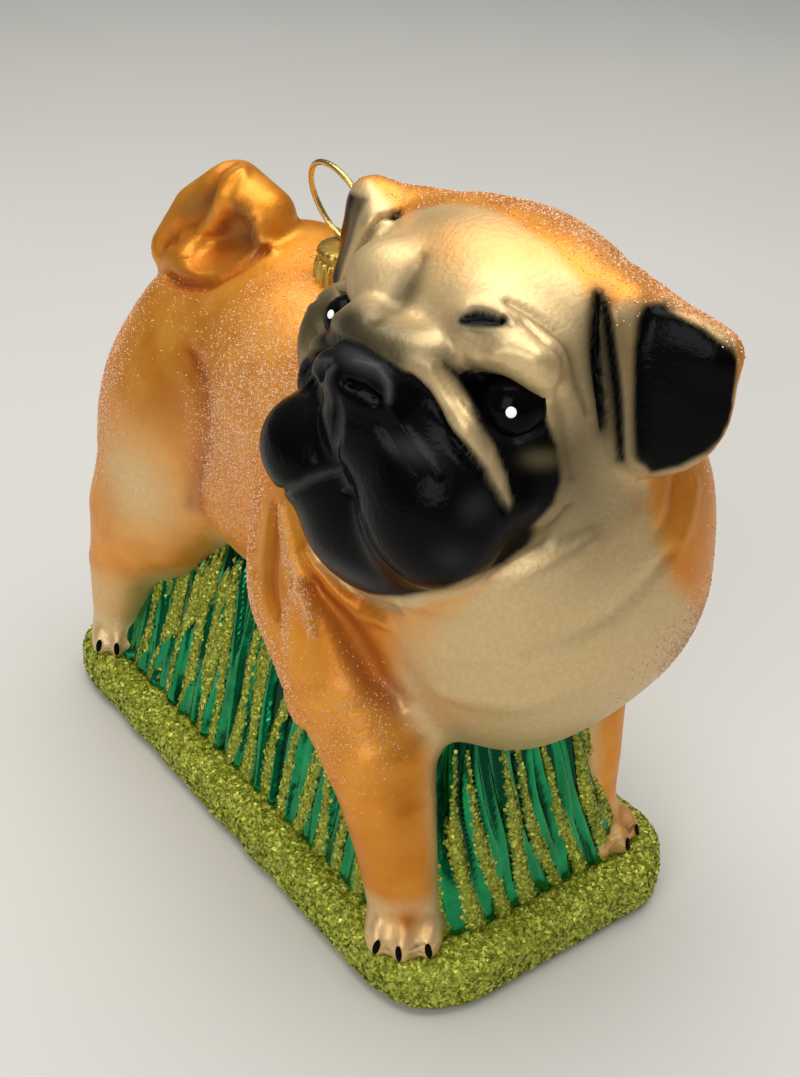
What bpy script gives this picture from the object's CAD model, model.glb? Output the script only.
# A mouth-blown glass pug ornament on its block of grass, with cap and wire loop.
import math
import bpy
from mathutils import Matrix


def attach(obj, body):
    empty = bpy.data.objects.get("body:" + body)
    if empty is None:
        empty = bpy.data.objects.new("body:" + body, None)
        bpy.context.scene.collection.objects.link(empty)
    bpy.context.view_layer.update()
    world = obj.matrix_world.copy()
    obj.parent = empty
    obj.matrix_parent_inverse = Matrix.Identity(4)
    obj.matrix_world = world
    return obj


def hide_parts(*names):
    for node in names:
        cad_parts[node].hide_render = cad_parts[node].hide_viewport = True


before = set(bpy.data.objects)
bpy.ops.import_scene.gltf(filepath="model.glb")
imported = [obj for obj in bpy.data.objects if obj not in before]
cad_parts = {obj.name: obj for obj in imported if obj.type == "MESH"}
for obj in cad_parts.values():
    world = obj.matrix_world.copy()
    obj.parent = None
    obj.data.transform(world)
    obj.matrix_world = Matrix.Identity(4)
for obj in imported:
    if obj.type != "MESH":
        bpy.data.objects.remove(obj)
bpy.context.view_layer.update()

from types import SimpleNamespace

import bmesh
import bpy
import numpy as np
from mathutils import Matrix, Vector

# Shapes are worked out in millimetres, and the meshes are in metres.
MM = 0.001
BASE_TOP = 6.6
# The undersides of the paws, just over the top of the base.
SOLE = 6.9
# Middle of the head, and how far it is turned to the dog's right, lifted and tipped, in degrees.
HEAD_PLACE = (-4.1, -27.3, 71.2)
HEAD_TURN, HEAD_LIFT, HEAD_TIP = 84.0, 6.0, 1.5
FEET = {
    "front_right": (-15.9, -34.2),
    "front_left": (13.0, -33.8),
    "rear_right": (-16.0, 36.8),
    "rear_left": (17.0, 35.8),
}
# Each paw's toes are turned this far from straight ahead.
PAW_TURN = {"front_right": -40, "front_left": 8, "rear_right": -36, "rear_left": 30}
# The ways from the middles of the eyes to their white dots.
EYE_DOT_LEFT, EYE_DOT_RIGHT = (-0.69, -0.68, 0.23), (-0.90, -0.07, 0.43)


# Camera, light and floor

# The camera stands where its lines of sight fit the outline of the base in the photograph.
CAMERA_TURN, CAMERA_LIFT, CAMERA_ROLL = -38.2, 31.2, 3.0
CAMERA_AIM = (3.0, -5.4, 39.0)
CAMERA_DISTANCE = 192.2
FOCAL_PIXELS, PICTURE_PIXELS_HIGH = 1500, 1077
SENSOR = 36


def place_camera():
    turn, lift, roll = (math.radians(a) for a in (CAMERA_TURN, CAMERA_LIFT, CAMERA_ROLL))
    back = Vector((math.sin(turn) * math.cos(lift), -math.cos(turn) * math.cos(lift), math.sin(lift)))
    right = Vector((math.cos(turn), math.sin(turn), 0))
    up = back.cross(right)
    right, up = right * math.cos(roll) + up * math.sin(roll), up * math.cos(roll) - right * math.sin(roll)
    data = bpy.data.cameras.new("camera")
    data.sensor_width = SENSOR
    data.lens = SENSOR * FOCAL_PIXELS / PICTURE_PIXELS_HIGH
    data.clip_start = 0.005
    camera = bpy.data.objects.new("camera", data)
    bpy.context.scene.collection.objects.link(camera)
    matrix = Matrix((right, up, back)).transposed().to_4x4()
    matrix.translation = (Vector(CAMERA_AIM) + back * CAMERA_DISTANCE) * MM
    camera.matrix_world = matrix
    bpy.context.scene.camera = camera
    bpy.context.scene.view_settings.view_transform = "Standard"


def softbox(name, place, aim, size, power, colour):
    data = bpy.data.lights.new(name, "AREA")
    data.shape = "RECTANGLE"
    data.size, data.size_y = size
    data.energy = power
    data.color = colour
    lamp = bpy.data.objects.new(name, data)
    lamp.location = place
    lamp.rotation_euler = (Vector(place) - Vector(aim)).to_track_quat("Z", "Y").to_euler()
    bpy.context.scene.collection.objects.link(lamp)


def light_scene():
    world = bpy.data.worlds.new("studio")
    bpy.context.scene.world = world
    world.use_nodes = True
    tree = world.node_tree
    background = tree.nodes["Background"]
    place = tree.nodes.new("ShaderNodeTexCoord")
    split = tree.nodes.new("ShaderNodeSeparateXYZ")
    tree.links.new(place.outputs["Generated"], split.inputs[0])
    ramp = tree.nodes.new("ShaderNodeValToRGB")
    tree.links.new(split.outputs["Z"], ramp.inputs[0])
    level, overhead = ramp.color_ramp.elements
    level.position = 0.0
    level.color = (0.16, 0.155, 0.15, 1)
    overhead.position = 0.9
    overhead.color = (0.62, 0.62, 0.61, 1)
    tree.links.new(ramp.outputs[0], background.inputs["Color"])
    background.inputs["Strength"].default_value = 0.53
    middle = (0, 0, 0.05)
    softbox("window", (0.04, 0.04, 0.6), middle, size=(0.6, 0.5), power=3.2, colour=(1, 0.985, 0.96))
    softbox("fill", (-0.5, -0.25, 0.35), middle, size=(0.3, 0.4), power=1.25, colour=(0.98, 0.98, 1))


def lay_floor():
    bpy.ops.mesh.primitive_plane_add(size=6, location=(0, 0, 0))
    floor = bpy.context.object
    floor.name = "floor"
    material = bpy.data.materials.new("pale_table")
    material.use_nodes = True
    tree = material.node_tree
    shader = tree.nodes["Principled BSDF"]
    shader.inputs["Roughness"].default_value = 0.75
    coord = tree.nodes.new("ShaderNodeTexCoord")
    noise = tree.nodes.new("ShaderNodeTexNoise")
    noise.inputs["Scale"].default_value = 6
    tree.links.new(coord.outputs["Object"], noise.inputs["Vector"])
    mix = tree.nodes.new("ShaderNodeMix")
    mix.data_type = "RGBA"
    mix.inputs["A"].default_value = (0.655, 0.645, 0.605, 1)
    mix.inputs["B"].default_value = (0.735, 0.725, 0.685, 1)
    tree.links.new(noise.outputs["Fac"], mix.inputs["Factor"])
    tree.links.new(mix.outputs["Result"], shader.inputs["Base Color"])
    floor.data.materials.append(material)


# Small helpers for the objects

def deselect():
    bpy.ops.object.select_all(action="DESELECT")


def activate(piece):
    deselect()
    piece.select_set(True)
    bpy.context.view_layer.objects.active = piece


def apply_modifier(piece, kind, **settings):
    activate(piece)
    modifier = piece.modifiers.new(kind.lower(), kind)
    for key, value in settings.items():
        setattr(modifier, key, value)
    bpy.ops.object.modifier_apply(modifier=modifier.name)


def points_of(piece):
    found = np.empty(len(piece.data.vertices) * 3)
    piece.data.vertices.foreach_get("co", found)
    return found.reshape(-1, 3) / MM


def set_points(piece, points):
    piece.data.vertices.foreach_set("co", (np.asarray(points) * MM).ravel())
    piece.data.update()


def smooth_faces(piece):
    piece.data.polygons.foreach_set("use_smooth", [True] * len(piece.data.polygons))


def finish_piece(piece, nodes, material):
    piece.data.materials.clear()
    piece.data.materials.append(material)
    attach(piece, "root")
    if nodes:
        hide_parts(*nodes)


# Rounded masses. Each is a function for how far points are outside it, how wide it blends with the ones
# before it in its list, and whether it is taken away from them.

TINY = 1e-6


def turn_about(axis, degrees):
    return np.array(Matrix.Rotation(math.radians(degrees), 3, axis))


def ball(place, radii, blend=4.0, turn=(0, 0, 0)):
    turned = turn_about("X", turn[0]) @ turn_about("Y", turn[1]) @ turn_about("Z", turn[2])

    def outside(points):
        q = (points - place) @ turned
        k = q / radii
        far = np.linalg.norm(k, axis=1)
        steep = np.linalg.norm(k / radii, axis=1)
        return far * (far - 1) / np.maximum(steep, TINY)
    return outside, blend, False


def limb(start, end, radius_start, radius_end, blend=4.0):
    def outside(points):
        along, off = along_line(points, start, end)
        return off - (radius_start + (radius_end - radius_start) * along)
    return outside, blend, False


def chain(places, radii, blend=4.0):
    """One even limb through several places."""
    parts = [limb(*ends)[0] for ends in zip(places, places[1:], radii, radii[1:])]

    def outside(points):
        return np.minimum.reduce([part(points) for part in parts])
    return outside, blend, False


def along_line(points, start, end):
    """How far along the line from start to end each point is, from 0 to 1, and how far off it."""
    start, end = np.array(start, float), np.array(end, float)
    way = end - start
    along = np.clip((points - start) @ way / (way @ way), 0, 1)
    return along, np.linalg.norm(points - (start + along[:, None] * way), axis=1)


def hollow(mass):
    return mass[0], mass[1], True


def both(make):
    """The same mass on the left and, mirrored, on the right."""
    return [make(lambda p: p), make(lambda p: (-p[0], p[1], p[2]))]


def merge(a, b, blend):
    """The nearer of two distances, rounded off where they are alike."""
    mix = np.maximum(blend - np.abs(a - b), 0) / blend
    return np.minimum(a, b) - mix * mix * blend / 4


def outside_all(masses, points):
    best = None
    for outside, blend, away in masses:
        found = outside(points)
        if best is None:
            best = found
        elif away:
            best = -merge(-best, found, blend)
        else:
            best = merge(best, found, blend)
    return best


def step(low, high, value):
    t = np.clip((value - low) / (high - low), 0, 1)
    return t * t * (3 - 2 * t)


def rear_leg(side):
    x, y = FEET["rear_" + side]
    out = math.copysign(1, x)
    return [
        ball((12 * out, 28.5, 39), (8.4, 12, 17), 6),
        chain([(14.3 * out, 31, 30), (15.8 * out, 34, 22), (16.2 * out, 35.6, 15), (x, y, 10)],
              [7.6, 5.7, 4.6, 4.2], 5),
    ]


BODY = [
    # Chest, barrel, rump, back and haunches
    ball((0, -14, 48.5), (18.5, 18, 19.5)),
    ball((0, 8, 48.5), (17.4, 20, 20.2), 6),
    ball((0, 25, 48.5), (17.5, 15, 19.5), 6),
    ball((0.5, 12, 58.2), (14.5, 23, 13), 6),
    ball((-2, 27.4, 52.6), (14.6, 11.8, 13.4), 6),
    ball((4, 18, 64.5), (9, 10, 8.5), 5),
    *rear_leg("right"),
    *rear_leg("left"),
    # Shoulders, then the thick collar, the breast and the nape
    *both(lambda side: ball(side((-10, -14, 46)), (11, 11, 15), 5)),
    ball((2.6, -30.3, 50.5), (20.2, 19.8, 20), 6),
    ball((-2, -31.5, 42), (11, 12, 14), 6),
    ball((1.5, -28, 60), (20.5, 18.5, 11), 6),
    ball((1, -14, 62), (14, 14, 10), 6),
    # Front legs, right and left
    chain([(-13.5, -17, 42), (-15, -22.5, 35), (-16.3, -28, 29), (-16.9, -31.2, 23.5), (-16.9, -33, 18),
           (-16.6, -34, 12.5), (*FEET["front_right"], 9.5)], [10, 8.7, 6.8, 5.5, 4.8, 4.4, 4.2], 5),
    chain([(13.5, -19, 39), (13.8, -26.5, 32), (12.6, -31.6, 26), (12.2, -33.4, 20), (12.2, -34, 15),
           (*FEET["front_left"], 9.5)], [9.5, 7.2, 5.3, 4.5, 4.1, 4], 5),
]


def toe_place(foot, aside, reach, high):
    """A place on the curved row of the toes, turned as the paw is."""
    row = np.array((aside, 0.1 * aside * aside - reach, 0))
    return turn_about("Z", PAW_TURN[foot]) @ row + (*FEET[foot], high)


def paw(foot):
    apart, half, reach = (2.9, 1.75, 4) if "front" in foot else (2.6, 1.6, 3.2)
    turn = (0, 0, PAW_TURN[foot])
    toes = [toe_place(foot, aside, reach, 8.1) for aside in (-apart, 0, apart)]
    return [ball((*FEET[foot], 9.4), (apart + 0.8, 5, 4), 2, turn),
            *(ball(toe, (half, 3.5, 2.7), 0.6, turn) for toe in toes)]


PAWS = [mass for foot in FEET for mass in paw(foot)]
# The head's masses are in its own frame: -Y is the way the face looks, and +X its left.
SKULL = [
    # Skull, forehead, cheeks and jaw
    ball((0, 3.5, 2.5), (17.3, 13.5, 16)),
    ball((0, -1.5, 8), (14, 10.3, 10), 5),
    *both(lambda side: ball(side((-11, -2.5, -2.4)), (7.4, 9.8, 9.2), 5)),
    ball((0, -4, -10), (11, 10, 8.6), 4),
    # Brows, temple, roots of the ears and sockets of the eyes
    limb((6.8, -10.4, 10.4), (13.2, -8.6, 9.4), 2.9, 2.1, 4),
    ball((-7.2, -9.3, 10), (4.6, 3.6, 4.3), 3),
    ball((-14.5, -6, 1.2), (4.6, 6.2, 6), 4),
    *both(lambda side: limb(side((-8, 2.5, 12.6)), side((-14.5, 1.5, 13.4)), 4.2, 3, 4)),
    *both(lambda side: hollow(ball(side((-11.6, -14.8, 4.2)), (3.8, 4, 3.2), 2.5))),
    # Muzzle with its hanging lips, and chin
    ball((0, -12, -1), (8, 7.8, 7.4), 3),
    ball((6.9, -12.3, -7), (8.6, 7.2, 9.4), 2.5),
    ball((-8.5, -12.6, -8.4), (8.1, 7.2, 6.4), 2),
    ball((0, -9.3, -14.6), (8.2, 7, 7.8), 3),
    ball((-4.4, -10.4, -14.4), (7.4, 6.6, 7.2), 3),
    # Folds from the nose down to the cheeks, the fold over the nose, and the nose
    *both(lambda side: limb(side((-4.5, -13.6, 7.4)), side((-10, -12.8, 2.4)), 1.9, 1.7, 1.6)),
    *both(lambda side: limb(side((-10, -12.8, 2.4)), side((-14.8, -9.6, -4)), 1.7, 1.5, 1.6)),
    ball((-0.6, -14.4, 7), (6.4, 3.4, 2.6), 3),
    ball((-1.2, -17.2, 3.1), (6, 2.5, 2.8), 1.5),
]
# Left and right ear: its root, its hanging flap and the edge of that in front.
EARS = [
    [
        limb((12, 4.5, 13.6), (23.2, 5.6, 11.8), 2.9, 1.9, 3),
        ball((20, 2.8, 6.6), (6.8, 2, 8.2), 3, (0, 0, 24)),
        limb((14.4, -0.2, 12.5), (18.6, 0.6, 0.8), 1.9, 1.7, 2.5),
    ],
    [
        limb((-12, 3.5, 13.8), (-19, -0.6, 14), 3, 2.4, 3),
        ball((-19.4, -1.4, 8.6), (4.8, 2, 7.2), 3, (0, 0, -20)),
        limb((-16, -3, 12.6), (-19.6, -2.6, 5.4), 1.7, 1.6, 2.5),
    ],
]
# One turn of the tail, the mass inside it, and the hollows at its middle.
TAIL = [
    chain([(-0.5, 20.2, 66), (-1, 20.9, 74.2), (-1.8, 26.2, 76.2), (-3.6, 31.6, 72), (-6, 33.6, 67),
           (-7.4, 24, 67)], [4.6, 4.3, 4.1, 4, 3.8, 2.8], 2),
    ball((-1.5, 27.5, 68.5), (4.5, 8, 7), 3),
    hollow(ball((-5.9, 20.8, 72.6), (2.9, 3.2, 3.8), 1)),
    hollow(ball((-7.6, 23.2, 70.6), (3.6, 4, 3.2), 1)),
]

HEAD_TURNED = turn_about("Z", -HEAD_TURN) @ turn_about("X", -HEAD_LIFT) @ turn_about("Y", HEAD_TIP)


def to_head(points):
    return (np.asarray(points, float) - HEAD_PLACE) @ HEAD_TURNED


def from_head(points):
    return np.asarray(points, float) @ HEAD_TURNED.T + HEAD_PLACE


def glass_form(points):
    """How far points are outside the dog."""
    local = to_head(points)
    head = outside_all(SKULL, local)
    for ear in EARS:
        head = merge(head, outside_all(ear, local), 1.0)
    body = merge(outside_all(BODY, points), outside_all(TAIL, points), 1.2)
    # Behind the head the blend is wide, and under the jaw the collar keeps its crease.
    neck = 1.2 + 5 * step(-7, 5, local[:, 1])
    form = merge(body, head, neck)
    form = merge(form, outside_all(PAWS, points), 1.5)
    return np.maximum(form, SOLE - 0.15 - points[:, 2])


def slope(form, points, reach=0.05):
    """Which way, and how steeply, the distance from the form grows at each point."""
    offsets = np.eye(3) * reach
    return np.stack([form(points + o) - form(points - o) for o in offsets], axis=1) / (2 * reach)


def press_onto(form, points, rounds=4):
    """Moves points onto the form's surface."""
    points = np.array(points, float)
    for _ in range(rounds):
        lean = slope(form, points)
        steep = np.maximum((lean * lean).sum(1), 0.09)
        move = np.clip(form(points) / steep, -0.8, 0.8)
        points -= move[:, None] * lean
    return points


# The dog's skin: copies of the CAD pieces, grown until they meet, joined, and drawn onto the form.

FLESH = ["head", "muzzle", "ear_right", "ear_left", "neck_ruff", "trunk", "tail"]
FLESH += [kind + "_" + foot for kind in ("leg", "paw") for foot in FEET]


def copy_of_nodes(name, nodes):
    deselect()
    copies = []
    for node in nodes:
        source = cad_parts[node]
        copy = bpy.data.objects.new(name, source.data.copy())
        bpy.context.scene.collection.objects.link(copy)
        copy.select_set(True)
        copies.append(copy)
    bpy.context.view_layer.objects.active = copies[0]
    bpy.ops.object.join()
    return copies[0]


def keep_largest(piece):
    """Deletes all but the largest connected shell."""
    mesh = bmesh.new()
    mesh.from_mesh(piece.data)
    left = set(mesh.verts)
    parts = []
    while left:
        start = next(iter(left))
        part, edge = {start}, [start]
        while edge:
            vertex = edge.pop()
            for link in vertex.link_edges:
                other = link.other_vert(vertex)
                if other not in part:
                    part.add(other)
                    edge.append(other)
        parts.append(part)
        left -= part
    parts.sort(key=len, reverse=True)
    extra = [v for part in parts[1:] for v in part]
    bmesh.ops.delete(mesh, geom=extra, context="VERTS")
    mesh.to_mesh(piece.data)
    mesh.free()


def refine(piece, inside):
    """Quarters the faces whose middles are inside the region."""
    mesh = bmesh.new()
    mesh.from_mesh(piece.data)
    mesh.faces.ensure_lookup_table()
    middles = np.array([f.calc_center_median()[:] for f in mesh.faces]) / MM
    chosen = inside(middles)
    edges = {e for f, yes in zip(mesh.faces, chosen) if yes for e in f.edges}
    bmesh.ops.subdivide_edges(mesh, edges=list(edges), cuts=1, use_grid_fill=True)
    mesh.to_mesh(piece.data)
    mesh.free()


def fine_region(points):
    """Where the glass is sculpted finely: face, ears, collar and tail."""
    q = to_head(points)
    front = (q[:, 1] < 1.5) & (q[:, 2] > -24) & (np.abs(q[:, 0]) < 26)
    ears = (np.abs(q[:, 0]) > 12) & (q[:, 1] < 6) & (q[:, 2] > -3) & (np.abs(q[:, 0]) < 32)
    near = np.abs(outside_all(SKULL, q)) < 2.5
    collar = (np.abs(points[:, 0]) > 17) & (points[:, 1] > -30) & (points[:, 1] < -7)
    collar = collar & (points[:, 2] > 36) & (points[:, 2] < 56)
    curl = (points[:, 2] > 66) & (points[:, 1] > 12)
    return (front & near) | ears | collar | curl


def relax(piece, points, rounds=2):
    """Evens out the spacing of the points."""
    edges = np.empty(len(piece.data.edges) * 2, int)
    piece.data.edges.foreach_get("vertices", edges)
    a, b = edges.reshape(-1, 2).T
    count = np.bincount(np.r_[a, b], minlength=len(points))[:, None]
    for _ in range(rounds):
        total = np.zeros_like(points)
        np.add.at(total, a, points[b])
        np.add.at(total, b, points[a])
        points = 0.5 * points + 0.5 * total / count
    return points


# Folds and creases of the mould: how high, how wide, and the places they run through. A crease has a
# height below 0. Those of the face are in the head's own frame, and the paired ones are on both sides.

FOLD_OF_CHEEK = [(6.5, -15.6, 7.3), (8.1, -14.9, 4.6), (10.9, -14.6, 3), (12.8, -13.4, 0.7),
                 (14.3, -12.5, -1.4), (15.4, -11.4, -4)]
SLIT_IN_FRONT = [(13.3, -1.8, 15.1), (14.4, -2.7, 12.8), (15.2, -2.7, 10), (16.6, -2.6, 6.4),
                 (17.8, -2.5, 3.4)]
SLIT_BEHIND = [(14.2, -1.9, 14.6), (15.4, -2.2, 13), (16.5, -1.8, 9.8), (18, -1.4, 5.6), (19.4, -0.8, 0.2)]
DIMPLE = [(7, -13.1, 11.9), (8.1, -12.3, 12.4), (9.8, -10.7, 12.5)]
PAIRED_FACE_FOLDS = [
    # Lids of the eye
    (-0.3, 0.7, [(7.4, -14, 7.6), (9.4, -11.6, 6.9), (11.8, -10.4, 7.1), (14, -8.6, 5.6), (16, -7.8, 2.9)]),
    (0.2, 0.7, [(9.6, -12.2, 2.2), (12, -11, 1.2), (14.2, -9.6, 1.6), (15.8, -8, 3)]),
    # Creases on both sides of the long fold of the cheek, and the fold
    (-0.25, 0.4, [(7.2, -14.4, 7.4), (8.8, -13.9, 5.7), (10.9, -13.5, 4.2), (12.7, -12.9, 1.7),
                  (15.2, -11, -2.4)]),
    (-0.6, 0.6, [(4.8, -16.2, 5.8), (8.4, -15.2, 2.4), (11.5, -14.8, 0.7), (13.6, -13.5, -1.4),
                 (15, -11.8, -4.4)]),
    (0.3, 1.1, FOLD_OF_CHEEK),
    # Behind the eye patch, and by the ear
    (-0.3, 0.8, [(14.7, -7.4, 7.5), (15.8, -6.6, 4.6), (17, -6.6, 2), (17.9, -5.9, -1)]),
    (-0.6, 0.45, SLIT_BEHIND),
]
WING_LEFT = [(-0.6, -18.6, 5.6), (2, -17.9, 6), (3.6, -17.9, 5), (4.3, -18.2, 3.6)]
WING_RIGHT = [(-3.4, -19.1, 4.7), (-5.6, -18.9, 3.6), (-5.8, -18.6, 2.4)]
SEPTUM = [(-2.6, -19.6, 4.6), (-2.9, -19.6, 3), (-2, -19.6, 1.3)]
FACE_FOLDS = [
    # Left brow and forehead
    (0.3, 1.7, [(9, -12.6, 9), (11.6, -11.8, 10), (14.2, -10, 9.4), (15.4, -8, 7)]),
    (-0.45, 0.7, [(8.5, -8.8, 13.3), (10.7, -7.6, 12.5), (13, -6.5, 11.2), (14.4, -5.2, 9.1),
                  (16.9, -4.1, 4.6)]),
    (-0.65, 0.9, DIMPLE),
    (0.35, 0.5, [(9.8, -10.4, 13.2), (10.8, -10.2, 12)]),
    (-0.3, 0.5, [(10.8, -9, 12.4), (13.8, -8.7, 11.4), (15.1, -7.3, 9.7)]),
    (-0.4, 1.2, [(-2.6, -9.6, 14), (-1.9, -12.6, 11.4), (-1.4, -15.6, 8.8)]),
    # By the ears
    (-0.8, 0.45, SLIT_IN_FRONT),
    (0.4, 0.35, [(14.1, -2.2, 14.6), (15.2, -2.5, 11.8), (16, -2.3, 8.8), (17.4, -2.1, 4.6)]),
    (-0.6, 0.4, [(-13.6, -2.6, 15), (-14.9, -3.6, 13.8), (-15.6, -4.8, 11.6), (-17, -4.4, 8.5),
                 (-18.4, -3.6, 5.4)]),
    # Nose and nostrils
    (0.45, 0.55, WING_LEFT),
    (0.35, 0.5, WING_RIGHT),
    (0.25, 0.5, SEPTUM),
    (-1.0, 0.75, [(-0.6, -19.6, 3.7), (1.2, -19.4, 3.9), (3.3, -18.8, 3.4)]),
    (-0.8, 0.45, [(-4.1, -19.4, 3.6), (-4.4, -19.3, 2.6)]),
    # Left brow again, over the nose, and the left lip
    (0.5, 1.4, [(10.9, -12, 9.8), (12.3, -11, 10.8), (14.2, -10.1, 10.4)]),
    (-0.35, 0.5, [(-5, -17.6, 6.4), (-1, -18.6, 7.2), (3, -18, 6.2), (4.8, -16.8, 4.8)]),
    (0.35, 0.5, [(4.4, -18, 3), (6.6, -17.8, 1.2), (9, -17.6, -0.2), (11.2, -17.2, -1.5)]),
    (-0.25, 0.6, [(3.4, -18.4, 1.4), (6, -18, -0.6), (9, -17.6, -2)]),
]
MOUTH_HEIGHT, MOUTH_WIDTH = -0.6, 0.5
MOUTH_LINES = [
    [(-1.1, -19.7, 1.5), (-0.5, -19.7, 0), (-0.4, -19.8, -1.7), (-1.7, -18.7, -4.7), (-1.9, -18, -7)],
    [(-1.9, -18, -7), (-1.2, -17.3, -8.5), (1.8, -18.4, -9.3), (4.1, -19.1, -10), (5.5, -18.9, -11.7),
     (7.1, -18.5, -12.7), (8.5, -17.7, -13.5)],
    [(-1.9, -18, -7), (-3.2, -18.4, -7.7), (-4.9, -18.7, -9), (-7.3, -18.2, -10.6), (-10.5, -16.6, -12.4),
     (-12.5, -14.5, -14.6)],
]
CURL_GROOVE = [(-5.8, 25.4, 76.8), (-6.6, 27.2, 75.4), (-6.9, 30.4, 73)]
# The hollow of the tail's curl, seen from the side.
CURL_OUTLINE = [(20.8, 77), (18.2, 75.3), (17.1, 72.6), (16.8, 71.3), (17.4, 70), (20.1, 68.5),
                (25.5, 69.3), (26.6, 71.2), (23.3, 74.3)]
TAIL_ROOT = [(-10.9, 29.1, 66), (-11.2, 25.2, 66.3), (-10.6, 22.3, 66.8), (-9.7, 19.8, 67.5),
             (-9, 18.8, 68.1), (-6.6, 17.3, 69.6), (-2.8, 16.4, 71)]
BRIDGE = [(-9, -14.8, 4), (-3, -17.7, 6.7), (0, -17.6, 7.8), (2.4, -17.2, 7.9), (3.6, -17.1, 7.3)]
# Folds of the collar and the shoulder, on the dog's right.
STRIP_A = [(-17.1, -4.4, 52.1), (-18.4, -5.6, 49.1), (-20.3, -9, 46.5), (-22, -13, 43.3),
           (-23.1, -16.3, 40.1), (-23.3, -20, 36), (-23, -22, 31.9)]
STRIP_B = [(-19.8, -13, 54.2), (-20.6, -15.3, 51.8), (-20.6, -17.6, 49.4), (-21, -20.9, 45.5),
           (-21.4, -22.3, 43.5)]
FORK = [(-20.9, -18.9, 47.3), (-22.1, -18.9, 44.2), (-22.8, -19.6, 41.9), (-23.3, -20, 39.8)]
CHANNEL = [(-19.8, -11, 53.5), (-20.9, -13.6, 50.3), (-21.6, -15.4, 46.6), (-22.3, -17.3, 43.9)]
THROAT = [(-19.9, -20.7, 48.4), (-19.3, -24.2, 45.8), (-18.6, -26.8, 42.6), (-17.4, -28.5, 39.3),
          (-15.7, -30.1, 37.1)]
COLLAR_LIP = [(-18.2, -33, 52.3), (-17.2, -35.8, 53.3), (-16, -38.8, 54), (-13.5, -42.5, 56.4),
              (-10.5, -44.8, 59.4), (-7.5, -46, 61.4), (-5.5, -46.3, 62.6)]
GROIN = [(-14.9, 16.6, 60.7), (-15.6, 11.7, 59.2), (-16.5, 9.4, 55.7), (-17, 9.1, 51.7),
         (-16.8, 11.7, 45.9), (-15.5, 14.8, 39.2)]
BIB_CREASE = [(-12.8, -43.1, 49.4), (-8.9, -46.6, 51.8), (-3.4, -48.9, 54.6), (1.2, -49.2, 57.8),
              (3.9, -48.9, 59.2)]
PAIRED_BODY_FOLDS = [
    (0.8, 1.3, STRIP_A),
    (0.6, 0.9, STRIP_B),
    (0.5, 0.8, FORK),
    (-0.7, 1.3, CHANNEL),
    (-1.3, 1.8, THROAT),
    (0.7, 1.2, [(-19.8, -18.6, 51.6), (-19.2, -22.1, 48.9), (-18.2, -26, 47.3), (-17.5, -30.1, 47.8)]),
    (-0.9, 1.8, GROIN),
]
UNDER_JAW = [(-19, -21.4, 51.6), (-18.3, -25, 49.7), (-18, -29.3, 50.1), (-17.8, -31.9, 50.6)]
BODY_FOLDS = [
    # Under the jaw, collar and breast
    (-0.7, 0.8, UNDER_JAW),
    (0.4, 1.4, COLLAR_LIP),
    (-0.4, 0.9, [(-14.3, -41.3, 59.2), (-11.9, -43.2, 61), (-9.8, -44.2, 62.5), (-8, -45.6, 66.5)]),
    (-0.4, 0.9, BIB_CREASE),
    (0.25, 0.9, [(-16, -37.5, 47.3), (-14.8, -40.2, 48.3), (-13.1, -42.6, 49.2), (-11.3, -44.6, 49.8)]),
    (0.3, 1.7, [(-15, -36.7, 41.6), (-13, -40.9, 42.4), (-10.1, -44.2, 42.7), (-5.5, -48, 46.4)]),
    (0.3, 1.3, [(10.5, -45.1, 64), (8.8, -46.5, 62.8), (6.1, -48.4, 60.1)]),
    (-0.35, 1.1, [(6.6, -45.7, 65.4), (4.9, -47.5, 63.2), (2.6, -48.2, 61.9)]),
    # Turn of the tail
    (0.5, 0.8, [(-1.6, 24.8, 78.3), (-2.6, 21.7, 76.4), (-2.5, 18.6, 73), (-2.7, 15.1, 71)]),
    (0.6, 1.1, [(-2.3, 24.3, 77.8), (-4.3, 24.7, 75.5), (-5, 26.2, 72.8), (-6.9, 30.6, 68.5)]),
    (-1.0, 0.9, TAIL_ROOT),
    (-1.0, 1.8, [(-2.1, 26.5, 78.8), (-4.5, 26.3, 77), (-5.6, 28, 73.6), (-7.2, 31.1, 69.4),
                 (-8.3, 32.5, 67.8)]),
]
MIRROR = np.array([-1, 1, 1])


def settle(line):
    """A line drawn onto the form, with one more place between every two."""
    line = np.array(line, float)
    middles = (line[1:] + line[:-1]) / 2
    full = np.empty((len(line) + len(middles), 3))
    full[0::2], full[1::2] = line, middles
    return press_onto(glass_form, full, 4)


def on_face(line):
    return settle(from_head(line))


def stroke(points, line, width):
    """A soft brush drawn along a line, thinner at both its ends: 1 on the line, and 0 away from it."""
    amount = np.zeros(len(points))
    reach = 2.6 * width
    near = ((points > line.min(0) - reach) & (points < line.max(0) + reach)).all(1)
    close = points[near]
    best = np.full(len(close), 99.0)
    where = np.zeros(len(close))
    for i, (start, end) in enumerate(zip(line[:-1], line[1:])):
        along, off = along_line(close, start, end)
        nearer = off < best
        best[nearer] = off[nearer]
        where[nearer] = (i + along[nearer]) / (len(line) - 1)
    # The stroke is at its full width half way, and at 0.6 of it at the ends.
    breadth = width * (0.6 + 0.4 * np.sin(np.pi * where))
    amount[near] = np.exp(-(best / breadth) ** 2)
    return amount


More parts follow.
